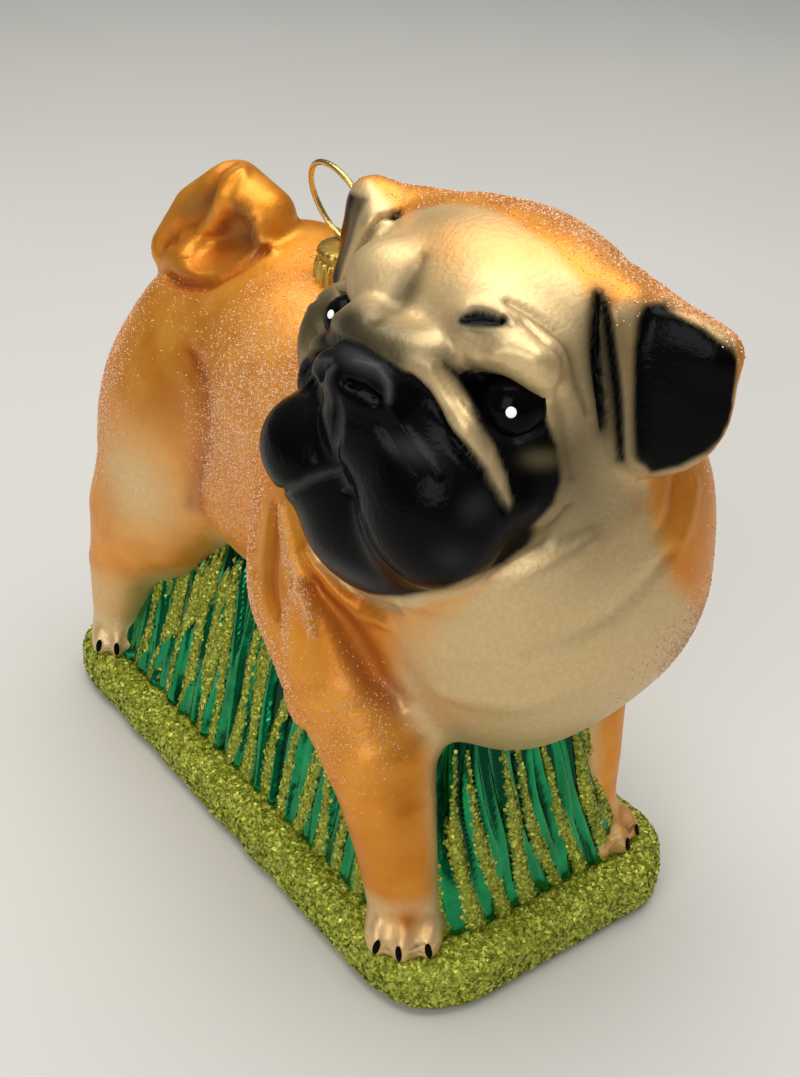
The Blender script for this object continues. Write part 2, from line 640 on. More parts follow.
def all_folds():
    folds = [(h, w, on_face(line)) for h, w, line in FACE_FOLDS]
    folds += [(MOUTH_HEIGHT, MOUTH_WIDTH, on_face(line)) for line in MOUTH_LINES]
    for h, w, line in PAIRED_FACE_FOLDS:
        folds += [(h, w, on_face(line)), (h, w, on_face(np.array(line) * MIRROR))]
    folds += [(h, w, settle(line)) for h, w, line in BODY_FOLDS]
    for h, w, line in PAIRED_BODY_FOLDS:
        folds += [(h, w, settle(line)), (h, w, settle(np.array(line) * MIRROR))]
    return folds


def sculpt(points):
    """How far each point of the skin stands out of the plain form, or lies in it."""
    rise = np.zeros(len(points))
    for height, width, line in all_folds():
        rise += height * stroke(points, line, width)
    return np.clip(rise, -1.6, 1.2)


def build_skin():
    """The skin, with where its points lie on the plain form and how far each was pushed off it."""
    skin = copy_of_nodes("glass_dog", FLESH)
    apply_modifier(skin, "WELD", merge_threshold=1e-6)
    # Grown by 0.45 mm, the pieces meet over the narrow gaps between them, and the voxels join them.
    apply_modifier(skin, "DISPLACE", strength=0.00045, mid_level=0.0)
    apply_modifier(skin, "REMESH", mode="VOXEL", voxel_size=0.00077)
    keep_largest(skin)
    points = press_onto(glass_form, points_of(skin), 3)
    points = relax(skin, points)
    set_points(skin, points)
    refine(skin, fine_region)
    points = relax(skin, points_of(skin), 1)
    points = press_onto(glass_form, points, 3)
    lean = slope(glass_form, points)
    lean /= np.maximum(np.linalg.norm(lean, axis=1), TINY)[:, None]
    rise = sculpt(points)
    set_points(skin, points + lean * rise[:, None])
    smooth_faces(skin)
    return skin, points, rise


# Lacquers, each a soft-edged layer from 0 to 1 over the silvered glass

def within(outline, flat, soft):
    """1 inside a closed outline on a flat view, 0 outside, with a soft edge."""
    ring = np.array(outline, float)
    off = np.full(len(flat), 99.0)
    odd = np.zeros(len(flat), bool)
    for start, end in zip(ring, np.roll(ring, -1, 0)):
        off = np.minimum(off, along_line(flat, start, end)[1])
        crosses = (start[1] > flat[:, 1]) != (end[1] > flat[:, 1])
        if crosses.any():
            at = start[0] + (flat[:, 1] - start[1]) / (end[1] - start[1]) * (end[0] - start[0])
            odd ^= crosses & (flat[:, 0] < at)
    return step(-soft, soft, np.where(odd, off, -off))


def spot(points, place, radii, strength=1.0):
    k = (points - place) / radii
    return strength * np.exp(-(k * k).sum(1))


def spots(points, *rows):
    return [spot(points, *row) for row in rows]


def layered(parts):
    """Several sprayed spots laid over each other."""
    left = 1.0
    for part in parts:
        left = left * (1 - part)
    return 1 - left


# The mask and the eye patch are drawn on the views of the face that skin_areas sets out, the ear on the
# front of the head, and the breast on the front of the dog.
MASK_OUTLINE = [(-1, 7.6), (2, 7.2), (3.8, 6.9), (5.9, 6.2), (7.9, 3.6), (11.7, 1.6), (14, -0.5),
                (15.5, -2.8), (16.3, -4.6), (16.6, -7), (16.2, -9.4), (15.2, -11.6), (12.6, -14.2),
                (9, -16.8), (6, -18.8), (2, -20.5), (-1, -21)]
EYE_OUTLINE = [(1.5, 8), (3.3, 7.2), (5.2, 7.2), (7.4, 7.6), (9.7, 6.9), (11.7, 4.8), (13.4, 2.1),
               (14.5, -1.3), (14.2, -4), (12.9, -6.4), (11.4, -9), (10, -9.8), (9.5, -6.5), (9.9, -4.6),
               (10, -3.4), (9.1, -1.1), (7.5, 1.3), (4.6, 4.8), (2.4, 6.9)]
EAR_OUTLINE = [(16.9, 15.3), (19.3, 15), (22.4, 14.4), (25.2, 13.2), (26.9, 11), (27, 6), (25.4, 2.6),
               (23.4, 0.4), (21, -1.2), (20.5, 0.3), (19.5, 4), (18.5, 8), (17.6, 11)]
CHEST_OUTLINE = [(-14, 62), (-17, 52), (-17.5, 46), (-17, 38), (-13, 30), (-4, 27), (8, 29), (14, 38),
                 (13, 46), (8, 52), (4, 56), (2, 62), (0, 69), (-8, 69)]


def both_sides(points):
    """Points as if the hidden side were the near side."""
    return points * np.where(points[:, :1] > 0, -1, 1) * [1, 0, 0] + points * [0, 1, 1]


def skin_areas(points, normals, rise):
    """The skin's points on the plain form, before its folds were pressed in, and the areas they lie in."""
    q = to_head(points)
    skin = SimpleNamespace(points=points, normals=normals, head=q, near=both_sides(points))
    # Under the jaw the collar lies close to the head, so the head's colours end sooner there.
    reach = 0.5 + 1.7 * step(-9, -3, q[:, 1]) + 1.7 * step(-4, 0, q[:, 2])
    skin.on_skull = 1 - step(0, 1, outside_all(SKULL, q) - reach)
    off_ears = np.minimum(*(outside_all(ear, q) for ear in EARS))
    skin.on_head = np.maximum(skin.on_skull, 1 - step(0.8, 2, off_ears))
    skin.front = 1 - step(-5, -3.5, q[:, 1])
    # The mask is drawn from the middle of the nose outwards. The eye patches lie on the corner of the
    # face, so they are drawn on a view from half way round it.
    skin.muzzle_view = np.c_[np.abs(q[:, 0] + 0.5), q[:, 2]]
    skin.side_view = np.c_[0.75 * np.abs(q[:, 0]) + 0.66 * (q[:, 1] + 9), q[:, 2]]
    skin.mask = mask_area(skin, 0.35)
    right_eye = spot(q, (-10, -11.5, 6.8), (3.4, 4, 2.2), 0.95)
    skin.eyes = eye_area(skin, 0.35) * np.where(q[:, 0] > 0, 1, right_eye)
    skin.eyes = skin.eyes * (1 - spot(q, (16.2, -8.8, 0.6), (1.3, 1.6, 0.8), 0.8))
    hair_line = -2.4 + 0.2 * np.maximum(14 - q[:, 2], 0)
    skin.face = (1 - step(-0.9, 0.9, q[:, 1] - hair_line)) * skin.on_head

    faces_ahead = step(-0.1, 0.25, -(normals @ HEAD_TURNED)[:, 1])
    skin.ear_face = faces_ahead * skin.on_head * (1 - step(5, 7, q[:, 1]))
    skin.left_ear = within(EAR_OUTLINE, q[:, [0, 2]], 0.3) * skin.ear_face
    skin.right_ear = within(EAR_OUTLINE, q[:, [0, 2]] * [-1, 1], 0.3) * skin.ear_face
    skin.ear_front = 0.85 * skin.ear_face * step(14.6, 16, np.abs(q[:, 0])) * (1 - step(14.2, 16, q[:, 2]))

    breast = within(CHEST_OUTLINE, points[:, [0, 2]], 1.8)
    skin.chest = breast * (1 - step(-33, -29, points[:, 1])) * (1 - skin.on_head)
    skin.sink = within(CURL_OUTLINE, points[:, 1:], 0.5) * (1 - step(-3, -1.5, points[:, 0]))
    # Lacquer pools where the folds are pressed in.
    skin.pool = np.clip(-1.1 * rise, 0, 1)
    return skin


def mask_area(skin, soft):
    return within(MASK_OUTLINE, skin.muzzle_view, soft) * skin.front * skin.on_skull


def eye_area(skin, soft):
    return within(EYE_OUTLINE, skin.side_view, soft) * skin.front * skin.on_skull


def face_stroke(skin, line, width):
    return stroke(skin.points, on_face(line), width)


def body_stroke(points, line, width):
    return stroke(points, settle(line), width)


def black_layer(skin):
    """The mask, the eye patches, the left ear and the tip of the right one, and lines in deep creases."""
    q = skin.head
    right_cheek = spot(q, (-8.5, -15.5, 4.5), (5.5, 5, 3.6), 0.97) * skin.front * skin.on_skull
    above_nose = spot(q, (-4, -16.4, 8.6), (2.4, 2, 1.2), 0.7)
    ear_tip = skin.right_ear * step(-18.6, -20.2, q[:, 0])
    slits = [face_stroke(skin, SLIT_IN_FRONT, 0.6), face_stroke(skin, SLIT_BEHIND, 0.5),
             face_stroke(skin, np.array(SLIT_BEHIND) * MIRROR, 0.4)]
    dimple = face_stroke(skin, DIMPLE, 1.0)
    return layered([skin.mask, skin.eyes, right_cheek, above_nose, skin.left_ear, ear_tip,
                    np.minimum(1, 1.4 * dimple), *(np.minimum(1, 1.3 * slit) for slit in slits)])


def grey_layer(skin):
    """Soot-grey smears over the black, along the lips and on the nose."""
    lines = [0.8 * face_stroke(skin, line, 0.5) for line in (*MOUTH_LINES, WING_LEFT, WING_RIGHT, SEPTUM)]
    smears = spots(skin.head,
                   ((-9.5, -14, -15.5), (5, 4, 3.2), 0.45), ((-1, -15.4, -18.4), (6, 3, 1.6), 0.7),
                   ((0, -18.2, 6), (3.6, 1.6, 0.9), 0.7), ((-6.5, -17, 2.6), (3, 3, 2), 0.3),
                   ((7.4, -17.4, -0.3), (2.6, 2, 1.0), 0.5), ((14.2, -14.6, -4), (1, 2, 1.5), 0.35),
                   ((13.5, -16, -9.2), (1.6, 2, 1.6), 0.3), ((13.4, -10.2, 2.8), (1.3, 2, 0.7), 0.6))
    under = np.maximum(np.maximum(skin.mask, skin.eyes), 0.2 * skin.on_skull * skin.front)
    return layered(lines + smears) * under


def cream_layer(skin):
    """Cream on the face, inside the ears, on the breast, and low on the body and legs."""
    points, normals = skin.points, skin.normals
    blush = layered(spots(skin.head, ((0, -7, 16), (7, 5, 3), 0.55), ((6, -3.5, 17.5), (6, 3, 3), 0.5)))
    ear_inside = layered([skin.right_ear, skin.ear_front])
    thigh = spot(skin.near, (-19.5, 23, 40), (9, 8, 8.5), 0.9)
    belly = (1 - step(33, 38, points[:, 2])) * (1 - step(10, 15, np.abs(points[:, 1] + 2))) * 0.8
    under = step(0.45, 0.8, -normals[:, 2]) * (1 - skin.on_head) * 0.8
    faces_inwards = step(0.1, 0.6, normals[:, 0] * -np.sign(points[:, 0]))
    inner = faces_inwards * (1 - step(30, 37, points[:, 2])) * 0.75
    front_left = (points[:, 0] > 0) & (points[:, 1] < 0)
    paws = (1 - step(12, 15, points[:, 2])) * np.where(front_left, 0.4, 0.85)
    paws = paws * (1 - spot(points, (-18.6, -38, 11.4), (1.8, 2.4, 1.5)))
    shins = (1 - step(18, 26, points[:, 2])) * step(20, 24, points[:, 1]) * 0.7
    return layered([skin.face * (1 - blush), ear_inside, skin.chest, thigh, belly, under, inner, paws,
                    shins])


def deep_layer(skin):
    """Deeper orange in the folds, down the front legs, and in the curl and at the root of the tail."""
    points, near = skin.points, skin.near
    return layered([
        0.8 * skin.pool,
        0.5 * body_stroke(points, UNDER_JAW, 1.8),
        spot(points, (-17, -26.2, 48.8), (2, 2.4, 1.2), 0.9),
        0.9 * body_stroke(near, THROAT, 3.4),
        0.5 * body_stroke(near, CHANNEL, 2.2),
        0.7 * body_stroke(near, GROIN, 2.8),
        spot(near, (-18.6, -34, 20), (3.5, 4, 9), 0.6),
        spot(points, (-5, 25, 67), (9, 9, 3.5), 0.5),
        spot(near, (-17.5, 17, 54), (4, 5, 5), 0.6),
        spot(points, (9, -44, 62), (6, 5, 7), 0.4),
        spot(points, (-18.6, -38, 11.4), (1.6, 2, 1.3), 0.9),
        0.6 * skin.sink,
        body_stroke(points, TAIL_ROOT, 1.4)])


def smoke_layer(skin):
    """Olive smoke on the brow, round the black, along the creases of the head and in the curl."""
    q = skin.head
    brow = spots(q, ((1.7, -17, 8.6), (4.6, 3, 2), 0.75), ((-3.4, -17.3, 7.3), (3, 3, 2), 0.8),
                 ((9, -12, 11.3), (3.2, 2.4, 1.5), 0.6), ((6.5, -14.6, 8.4), (2, 2, 1.5), 0.5),
                 ((17.4, -6.3, 0.5), (1.4, 2.4, 5), 0.5), ((-9.4, -13.5, 6), (3.4, 3, 3), 0.8),
                 ((-2.2, -12.5, 11.6), (1.6, 2.8, 2.9), 0.85), ((-11, -10.6, 9), (2, 2.4, 3.4), 0.6))
    halo = 0.7 * layered([mask_area(skin, 2.2), eye_area(skin, 1.6)])
    bridge = layered([spot(q, (-1.6, -17.4, 8.2), (6.5, 3, 2.2), 0.8),
                      0.8 * face_stroke(skin, BRIDGE, 1.3)])
    temple = spot(q, (-14.5, -10.5, 4), (3.6, 4.2, 4.6), 0.92)
    tear = spot(q, (16.2, -8.6, 0.4), (1.8, 2.4, 1.8), 0.6)
    jowl = spot(q, (18.5, -4, -3), (3.4, 4.5, 6.5), 0.62)
    groove = 0.5 * body_stroke(skin.points, CURL_GROOVE, 1.6)
    by_ear = layered([0.8 * face_stroke(skin, SLIT_IN_FRONT, 2.1),
                      0.75 * face_stroke(skin, SLIT_BEHIND, 1.7)])
    curl = 0.5 * skin.sink * step(69.5, 72.5, skin.points[:, 2])
    dark_ear = 0.85 * skin.right_ear * step(-16.6, -18, q[:, 0])
    rim = 0.6 * within(EAR_OUTLINE, q[:, [0, 2]], 1.4) * skin.ear_face
    return layered([*brow, halo, bridge, temple, tear, jowl, groove, by_ear, 0.12 * skin.chest,
                    0.5 * face_stroke(skin, DIMPLE, 2), 0.3 * skin.ear_front,
                    0.95 * skin.pool * skin.on_head, curl, dark_ear, rim])


def sugar_layer(skin, black):
    """Where the frosting lies: on the high places of the coat, not on black, face, tail or undersides."""
    points, near = skin.points, skin.near
    sugar = layered([
        *spots(near, ((-16, 4, 53), (5, 7, 12), 0.95), ((-12, -3, 60), (8, 11, 8), 0.7),
               ((0, 6, 67), (14, 22, 6), 0.5), ((-17, 33, 52), (8, 6, 13), 0.8),
               ((-19.8, -27, 33), (4, 6, 7), 0.6)),
        body_stroke(near, STRIP_A, 1.7),
        0.9 * body_stroke(near, STRIP_B, 1.0),
        0.8 * body_stroke(near, FORK, 0.9),
        spot(points, (9, -47, 46), (7, 5, 6), 0.85),
        spot(near, (-16, -34, 57), (6, 9, 13), 0.35) * (points[:, 0] > 0),
        *spots(skin.head, ((3, 4, 17.5), (18, 5, 5), 0.9), ((22, 4.8, 14.6), (8, 3, 2.4), 0.95),
               ((-18, 3, 14), (6, 4, 4), 0.6))])
    on_tail = step(65, 68, points[:, 2]) * step(12, 15, points[:, 1])
    under = step(0.2, 0.6, -skin.normals[:, 2])
    return sugar * (1 - on_tail) * (1 - black) * (1 - 0.85 * skin.face) * (1 - under)


def paint_layers(points, normals, rise):
    skin = skin_areas(points, normals, rise)
    black = black_layer(skin)
    return {"cream": cream_layer(skin), "deep": deep_layer(skin), "smoke": smoke_layer(skin),
            "black": black, "grey": grey_layer(skin), "sugar": sugar_layer(skin, black)}


def lay_layers(piece, layers):
    for name, amount in layers.items():
        layer = piece.data.attributes.new(name, "FLOAT", "POINT")
        layer.data.foreach_set("value", np.asarray(amount, np.float32))


def normals_of(piece):
    found = np.empty(len(piece.data.vertices) * 3)
    piece.data.vertex_normals.foreach_get("vector", found)
    return found.reshape(-1, 3)


# Materials

def new_material(name):
    material = bpy.data.materials.new(name)
    material.use_nodes = True
    return material, material.node_tree, material.node_tree.nodes["Principled BSDF"]


def layer_of(tree, name):
    node = tree.nodes.new("ShaderNodeAttribute")
    node.attribute_name = name
    return node.outputs["Fac"]


def set_or_link(tree, socket, value):
    """Feeds a socket from another socket, or sets it to a colour or a number."""
    if isinstance(value, bpy.types.NodeSocket):
        tree.links.new(value, socket)
    elif isinstance(value, tuple):
        socket.default_value = (*value, 1)
    else:
        socket.default_value = value


def blend_values(tree, first, second, amount, kind="FLOAT"):
    node = tree.nodes.new("ShaderNodeMix")
    node.data_type = kind
    set_or_link(tree, node.inputs["Factor"], amount)
    set_or_link(tree, node.inputs["A"], first)
    set_or_link(tree, node.inputs["B"], second)
    return node.outputs["Result"]


def blend_colours(tree, first, second, amount):
    return blend_values(tree, first, second, amount, "RGBA")


def product(tree, first, second):
    node = tree.nodes.new("ShaderNodeMath")
    node.operation = "MULTIPLY"
    set_or_link(tree, node.inputs[0], first)
    set_or_link(tree, node.inputs[1], second)
    return node.outputs[0]


def grain_group():
    """Uneven hand-sprayed lacquer: a wide and a fine grain, each stretched to run from 0 to 1."""
    group = bpy.data.node_groups.new("lacquer_grain", "ShaderNodeTree")
    for name in ("Wide", "Fine"):
        group.interface.new_socket(name, in_out="INPUT", socket_type="NodeSocketFloat")
        group.interface.new_socket(name, in_out="OUTPUT", socket_type="NodeSocketFloat")
    entry, leave = group.nodes.new("NodeGroupInput"), group.nodes.new("NodeGroupOutput")
    place = group.nodes.new("ShaderNodeTexCoord")
    for name in ("Wide", "Fine"):
        noise = group.nodes.new("ShaderNodeTexNoise")
        noise.inputs["Detail"].default_value = 3
        group.links.new(entry.outputs[name], noise.inputs["Scale"])
        group.links.new(place.outputs["Object"], noise.inputs["Vector"])
        spread = group.nodes.new("ShaderNodeMapRange")
        spread.inputs["From Min"].default_value = 0.3
        spread.inputs["From Max"].default_value = 0.7
        group.links.new(noise.outputs["Fac"], spread.inputs["Value"])
        group.links.new(spread.outputs["Result"], leave.inputs[name])
    return group


GRAIN = grain_group()


def grain(tree, wide, fine):
    node = tree.nodes.new("ShaderNodeGroup")
    node.node_tree = GRAIN
    node.inputs["Wide"].default_value = wide
    node.inputs["Fine"].default_value = fine
    return node.outputs["Wide"], node.outputs["Fine"]


def add_bump(tree, shader, height, strength, distance):
    """Bump on the shader's normal. The distance is in metres."""
    bump = tree.nodes.new("ShaderNodeBump")
    bump.inputs["Strength"].default_value = strength
    bump.inputs["Distance"].default_value = distance
    tree.links.new(height, bump.inputs["Height"])
    tree.links.new(bump.outputs["Normal"], shader.inputs["Normal"])


# Lacquers of the coat and the face
ORANGE = (0.78, 0.27, 0.018)
LIGHT_ORANGE = (0.9, 0.39, 0.05)
DEEP_ORANGE = (0.5, 0.135, 0.012)
CREAM = (0.84, 0.63, 0.33)
CREAM_SHADE = (0.68, 0.47, 0.21)
OLIVE_SMOKE = (0.10, 0.08, 0.04)
BLACK = (0.0015, 0.0015, 0.0018)
SOOT_GREY = (0.066, 0.066, 0.067)
FROST = (0.82, 0.48, 0.2)
# Grass, its raised lime blades, and the glue and flakes of the glitter
GRASS_GREEN, GRASS_SHADE, GRASS_GROOVE = (0.0, 0.34, 0.11), (0.0, 0.18, 0.05), (0.0, 0.05, 0.02)
LIME_BLADE = (0.3, 0.34, 0.02)
LIME_GLUE, LIGHT_LIME_GLUE = (0.2, 0.24, 0.012), (0.4, 0.44, 0.03)
LIME_FLAKE, BRIGHT_LIME_FLAKE = (0.2, 0.24, 0.012), (0.74, 0.78, 0.1)
SUGAR, BRIGHT_SUGAR = (0.86, 0.46, 0.21), (0.96, 0.75, 0.54)
# Metal of the cap and of the wire
CAP_GOLD, WORN_CAP_GOLD = (0.75, 0.52, 0.12), (0.55, 0.40, 0.08)
WIRE_BRASS, WORN_WIRE_BRASS = (0.80, 0.58, 0.2), (0.70, 0.48, 0.14)


def coat_lacquer():
    material, tree, shader = new_material("coat_lacquer")
    wide, fine = grain(tree, 240, 1700)
    colour = blend_colours(tree, ORANGE, LIGHT_ORANGE, wide)
    colour = blend_colours(tree, colour, DEEP_ORANGE, layer_of(tree, "deep"))
    pale = blend_colours(tree, CREAM, CREAM_SHADE, product(tree, fine, 0.45))
    colour = blend_colours(tree, colour, pale, layer_of(tree, "cream"))
    colour = blend_colours(tree, colour, OLIVE_SMOKE, layer_of(tree, "smoke"))
    black = layer_of(tree, "black")
    colour = blend_colours(tree, colour, BLACK, black)
    colour = blend_colours(tree, colour, SOOT_GREY, layer_of(tree, "grey"))
    frost = product(tree, layer_of(tree, "sugar"), blend_values(tree, 0.12, 0.5, fine))
    colour = blend_colours(tree, colour, FROST, frost)
    tree.links.new(colour, shader.inputs["Base Color"])
    metal = blend_values(tree, blend_values(tree, 0.64, 0.25, frost), 0.0, black)
    tree.links.new(metal, shader.inputs["Metallic"])
    rough = blend_values(tree, blend_values(tree, 0.43, 0.51, wide), 0.22, black)
    tree.links.new(blend_values(tree, rough, 0.6, frost), shader.inputs["Roughness"])
    tree.links.new(blend_values(tree, 0.16, 0.0, black), shader.inputs["Coat Weight"])
    shader.inputs["Coat Roughness"].default_value = 0.16
    shader.inputs["Specular IOR Level"].default_value = 0.07
    add_bump(tree, shader, fine, strength=0.25, distance=0.0001)
    return material


def glossy_black():
    material, tree, shader = new_material("glossy_black")
    wide, _ = grain(tree, 300, 1500)
    colour = blend_colours(tree, (0.001, 0.001, 0.0012), (0.003, 0.0028, 0.003), wide)
    tree.links.new(colour, shader.inputs["Base Color"])
    shader.inputs["Roughness"].default_value = 0.16
    shader.inputs["Specular IOR Level"].default_value = 0.06
    add_bump(tree, shader, wide, strength=0.1, distance=0.00005)
    return material


def white_enamel():
    material, tree, shader = new_material("white_enamel")
    wide, _ = grain(tree, 900, 3000)
    colour = blend_colours(tree, (0.9, 0.9, 0.88), (0.78, 0.78, 0.77), wide)
    tree.links.new(colour, shader.inputs["Base Color"])
    shader.inputs["Roughness"].default_value = 0.3
    shader.inputs["Emission Color"].default_value = (1, 1, 1, 1)
    shader.inputs["Emission Strength"].default_value = 0.35
    add_bump(tree, shader, wide, strength=0.2, distance=0.00005)
    return material


def gold(name, first, second, rough):
    material, tree, shader = new_material(name)
    wide, fine = grain(tree, 900, 3500)
    tree.links.new(blend_colours(tree, first, second, wide), shader.inputs["Base Color"])
    shader.inputs["Metallic"].default_value = 1
    tree.links.new(blend_values(tree, rough, rough + 0.15, fine), shader.inputs["Roughness"])
    add_bump(tree, shader, fine, strength=0.25, distance=0.0001)
    return material


def grass_glass():
    material, tree, shader = new_material("grass_glass")
    wide, _ = grain(tree, 350, 1400)
    colour = blend_colours(tree, GRASS_GREEN, GRASS_SHADE, wide)
    colour = blend_colours(tree, colour, GRASS_GROOVE, layer_of(tree, "groove"))
    colour = blend_colours(tree, colour, LIME_BLADE, layer_of(tree, "lime"))
    tree.links.new(colour, shader.inputs["Base Color"])
    tree.links.new(blend_values(tree, 0.9, 0.3, layer_of(tree, "lime")), shader.inputs["Metallic"])
    tree.links.new(blend_values(tree, 0.16, 0.45, layer_of(tree, "lime")), shader.inputs["Roughness"])
    tree.links.new(blend_values(tree, 0.3, 0.0, layer_of(tree, "groove")), shader.inputs["Coat Weight"])
    shader.inputs["Coat Roughness"].default_value = 0.08
    add_bump(tree, shader, wide, strength=0.2, distance=0.0002)
    return material


def glitter_ground():
    material, tree, shader = new_material("glitter_ground")
    wide, fine = grain(tree, 300, 2600)
    tree.links.new(blend_colours(tree, LIME_GLUE, LIGHT_LIME_GLUE, fine), shader.inputs["Base Color"])
    shader.inputs["Metallic"].default_value = 0.4
    tree.links.new(blend_values(tree, 0.3, 0.55, wide), shader.inputs["Roughness"])
    add_bump(tree, shader, fine, strength=0.6, distance=0.0003)
    return material


def flakes(name, dull, bright, metal, rough):
    """Flake colours, from dull to bright by each flake's own tint."""
    material, tree, shader = new_material(name)
    wide, fine = grain(tree, 500, 3000)
    tint = layer_of(tree, "tint")
    uneven = product(tree, tint, blend_values(tree, 0.8, 1.0, wide))
    tree.links.new(blend_colours(tree, dull, bright, uneven), shader.inputs["Base Color"])
    shader.inputs["Metallic"].default_value = metal
    tree.links.new(blend_values(tree, rough, rough + 0.12, fine), shader.inputs["Roughness"])
    return material


# Sheets that are bent round and closed

def wrap_sheet(name, shape, around, rings):
    """A flat grid bent round into a closed shell. The shape gives a point for each turn and height, which
    both run from 0 to 1."""
    deselect()
    bpy.ops.mesh.primitive_grid_add(x_subdivisions=around, y_subdivisions=rings, size=2)
    piece = bpy.context.object
    piece.name = name
    turn, height = ((points_of(piece)[:, :2] * MM + 1) / 2).T
    set_points(piece, shape(turn, height))
    bpy.ops.object.mode_set(mode="EDIT")
    bpy.ops.mesh.select_all(action="SELECT")
    bpy.ops.mesh.remove_doubles(threshold=2e-6)
    bpy.ops.mesh.normals_make_consistent(inside=False)
    bpy.ops.object.mode_set(mode="OBJECT")
    smooth_faces(piece)
    return piece


def rounded_outline(turn, half_width, half_length, corner):
    """A place on a rounded rectangle for each turn from 0 to 1, and the way out there."""
    straight_x, straight_y = half_width - corner, half_length - corner
    # Lengths are those of one fixed outline, so that a turn stays on its own line up the wall.
    lengths = np.array([2 * 31.5, 14.1, 2 * 9.5, 14.1] * 2)
    ends = np.cumsum(lengths) / lengths.sum()
    part = np.minimum(np.searchsorted(ends, turn, side="right"), 7)
    before = np.r_[0, ends][part]
    along = (turn - before) / (ends[part] - before)
    cos, sin = np.cos(np.pi / 2 * along), np.sin(np.pi / 2 * along)
    # The eight parts in turn: the right side, a corner, the front, a corner, and the same opposite them.
    x = np.choose(part, [-half_width, -straight_x - corner * cos,
                         straight_x * (2 * along - 1), straight_x + corner * sin,
                         half_width, straight_x + corner * cos,
                         straight_x * (1 - 2 * along), -straight_x - corner * sin])
    y = np.choose(part, [straight_y * (1 - 2 * along), -straight_y - corner * sin,
                         -half_length, -straight_y - corner * cos,
                         straight_y * (2 * along - 1), straight_y + corner * sin,
                         half_length, straight_y + corner * cos])
    out = np.c_[np.choose(part, [-1, -cos, 0, sin, 1, cos, 0, -sin]),
                np.choose(part, [0, -sin, -1, -cos, 0, sin, 1, cos])]
    return x, y, out


# The wall of grass: its length once round, its height, and the middle of its front end on the way round.
WALL_ROUND = 220.0
WALL_HIGH = 28.2
WALL_END, END_REACH = 86.6, 17
# Half the width and length of the wall at its foot, its corners, and how each shrinks with the height.
WALL_SIZES = (18.2, 40.2, 9)
WALL_TAPER = (0.36, 0.22, 0.2)
BLADE_GAP = 4.2
# Half the width and length of the base, its corners, and its rounded edge.
BASE_SIZES = (22.7, 45.5, 10.5)
BASE_EDGE = 2.4


def wall_sizes(high):
    return [size - taper * high for size, taper in zip(WALL_SIZES, WALL_TAPER)]


def grass_blades():
    """Blades of the mould: foot round the wall, height, half width, slant, bend, ripple, how proud, and
    whether it carries glitter."""
    luck = np.random.default_rng(12)
    count = int(WALL_ROUND / BLADE_GAP)

    def slant_bend_ripple(lean):
        return lean + luck.uniform(-0.1, 0.08), luck.uniform(-0.003, 0.003), luck.uniform(0, 6)

    blades = []
    for i in range(count):
        foot = WALL_ROUND * i / count + luck.uniform(-0.5, 0.5)
        # Round both ends of the block the blades fan out, and along its sides all lean alike.
        from_end = foot % (WALL_ROUND / 2) - WALL_END
        lean = -0.25 + 0.017 * from_end if abs(from_end) < END_REACH else -0.17
        tall = WALL_HIGH * luck.uniform(0.75, 1.1)
        blades.append((foot, tall, luck.uniform(0.95, 1.3), *slant_bend_ripple(lean), 0.95, True))
        for shift in (0.33, 0.68):
            foot_between = foot + BLADE_GAP * (shift + luck.uniform(-0.06, 0.06))
            blades.append((foot_between, WALL_HIGH * luck.uniform(0.8, 1.3), luck.uniform(0.9, 1.2),
                           *slant_bend_ripple(lean), luck.uniform(0.45, 0.8), False))
    return blades


def grass_relief(turn, high):
    """How proud the wall is, how deep in a groove, and how much glitter it carries."""
    place = turn * WALL_ROUND
    proud = np.zeros(len(turn))
    lime = np.zeros(len(turn))
    for foot, tall, wide, slant, bend, ripple, crest, glitter in grass_blades():
        t = np.clip(high / tall, 0, 1)
        half = wide * (1 - t ** 2.4) * (1 + 0.2 * np.sin(0.55 * high + 2 * ripple)) + 1e-3
        off = place - foot - slant * high - bend * high * high - 0.35 * np.sin(0.3 * high + ripple)
        off = (off + WALL_ROUND / 2) % WALL_ROUND - WALL_ROUND / 2
        leaf = crest * np.sqrt(np.clip(1 - (off / half) ** 2, 0, 1)) * np.minimum(1, 4 * (1 - t))
        leaf = np.where(high < tall, leaf, 0)
        if glitter:
            lime = np.where(leaf > proud, step(0.1, 0.4, leaf), lime * (leaf <= proud))
        else:
            lime = np.where(leaf > proud, 0, lime)
        proud = np.maximum(proud, leaf)
    return proud, 1 - step(0.0, 0.4, proud), lime


def grass_shape(turn, height):
    """The block. The first 0.04 of the height is its underside, and the last tenth its top."""
    wall = np.clip((height - 0.04) / 0.86, 0, 1)
    high = wall * WALL_HIGH
    top = np.clip((height - 0.9) / 0.1, 0, 1)
    bottom = np.clip(1 - height / 0.04, 0, 1)
    proud, _, _ = grass_relief(turn, high)
    proud = proud * (1 - top) * (1 - bottom) * (1 - step(0.85, 1, wall))
    x, y, out = rounded_outline(turn, *wall_sizes(high))
    x, y = x + out[:, 0] * proud, y + out[:, 1] * proud
    shrink = (1 - top) * (1 - bottom)
    return np.c_[x * shrink, y * shrink, BASE_TOP - 0.1 + high + 0.3 * top]


